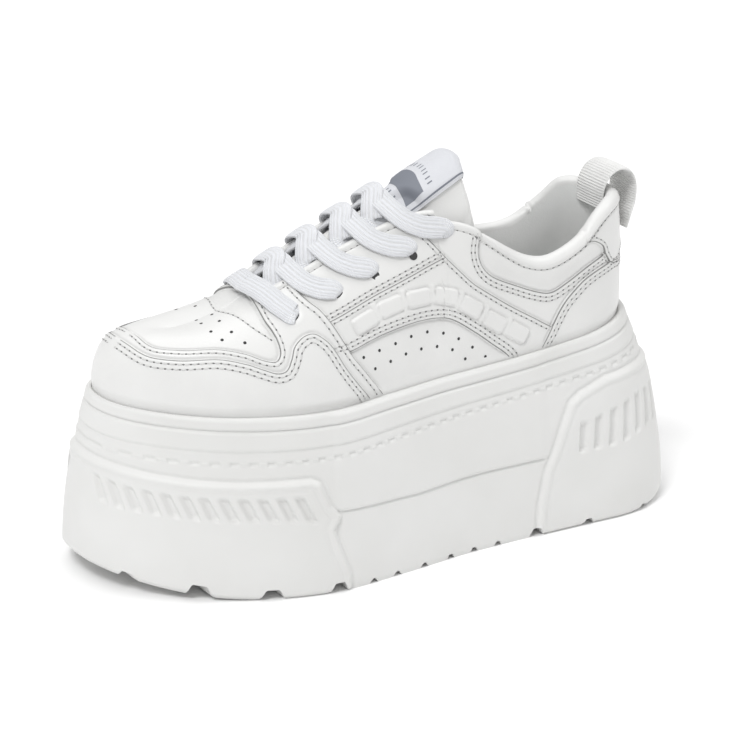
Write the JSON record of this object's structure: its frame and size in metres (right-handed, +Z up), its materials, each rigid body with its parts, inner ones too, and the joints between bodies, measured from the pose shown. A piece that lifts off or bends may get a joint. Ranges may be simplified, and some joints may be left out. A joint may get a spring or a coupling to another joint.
{
  "type": "platform sneaker",
  "caption": "Chunky low-top platform sneaker for the left foot: thick flared foam sole, padded collar, laced throat, heel pull loop.",
  "frame": {"origin": "on the floor under the middle of the shoe's bounding box", "axes": "+X towards the toe, +Y towards the outer (lateral) side of this left shoe, +Z up"},
  "size_m": [0.284, 0.1125, 0.1681],
  "materials": {
    "sole_foam": "satin moulded foam rubber, off-white",
    "white_leather": "smooth satin synthetic leather, white",
    "pale_lining": "matt pale textile lining",
    "label_weave": "woven label, white with a grey panel",
    "webbing": "ribbed grosgrain webbing, white",
    "lace_weave": "flat woven lace, white"
  },
  "bodies": {
    "root": {"sole": "sole_foam", "upper": "white_leather", "tongue": "white_leather", "insole": "pale_lining", "tongue_label": "label_weave", "pull_loop": "webbing", "lace_bar_1": "lace_weave", "lace_cross_2": "lace_weave", "lace_cross_3": "lace_weave", "lace_cross_4": "lace_weave", "lace_cross_5": "lace_weave"}
  },
  "joints": []
}
